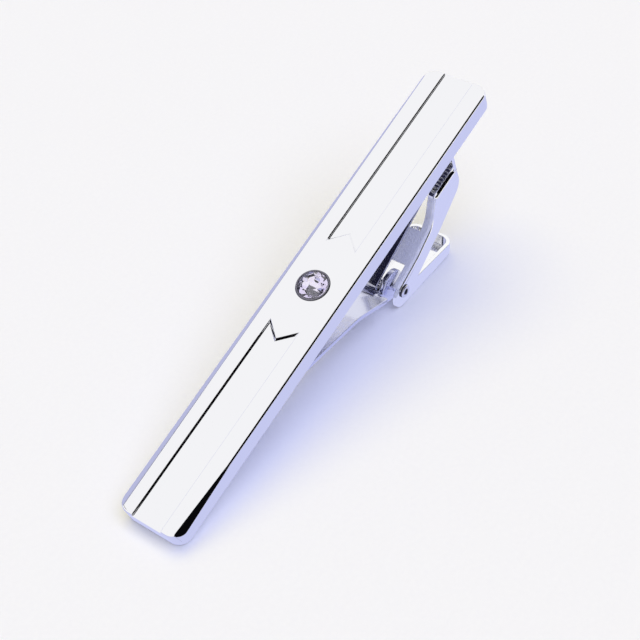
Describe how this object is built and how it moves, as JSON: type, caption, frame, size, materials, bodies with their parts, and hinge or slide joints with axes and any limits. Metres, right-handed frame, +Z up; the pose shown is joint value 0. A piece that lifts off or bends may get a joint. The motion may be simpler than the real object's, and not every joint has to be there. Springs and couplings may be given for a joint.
{
  "type": "tie clip",
  "caption": "Tie clip: a long polished bar with sunk panels that point at a round faceted stone, and a sprung lever clasp on a bent arm behind it.",
  "frame": {"origin": "under the middle of the clip's length, on the plane it lies on", "axes": "+X along the clip towards the clasp's mouth, +Y across the bar, +Z up from the table"},
  "size_m": [0.0584, 0.008, 0.0209],
  "materials": {
    "bar_plating": "mirror-polished rhodium plating",
    "cup_plating": "turned and plated",
    "cement": "set jeweller's cement",
    "cut_glass": "faceted and polished",
    "solder": "flowed soft solder",
    "arm_plating": "bright plated stamping",
    "jaw_plating": "bright plated stamping",
    "spring_steel": "plated spring strip",
    "pin_plating": "formed rivet heads"
  },
  "bodies": {
    "bar": {"front_bar": "bar_plating", "stone_cup": "cup_plating", "cement_bed": "cement", "crystal": "cut_glass", "solder_seam": "solder", "base_arm": "arm_plating"},
    "jaw": {"jaw_lever": "jaw_plating", "leaf_spring": "spring_steel", "hinge_pin": "pin_plating"}
  },
  "joints": [
    {"name": "jaw_hinge", "type": "hinge", "parent": "bar", "child": "jaw", "pos_m": [0.01244, 0, 0.0022], "axis": [0, 1, 0], "range_deg": [0, 45], "stiffness_Nm_per_rad": 0.02, "springref_deg": -34.38}
  ]
}
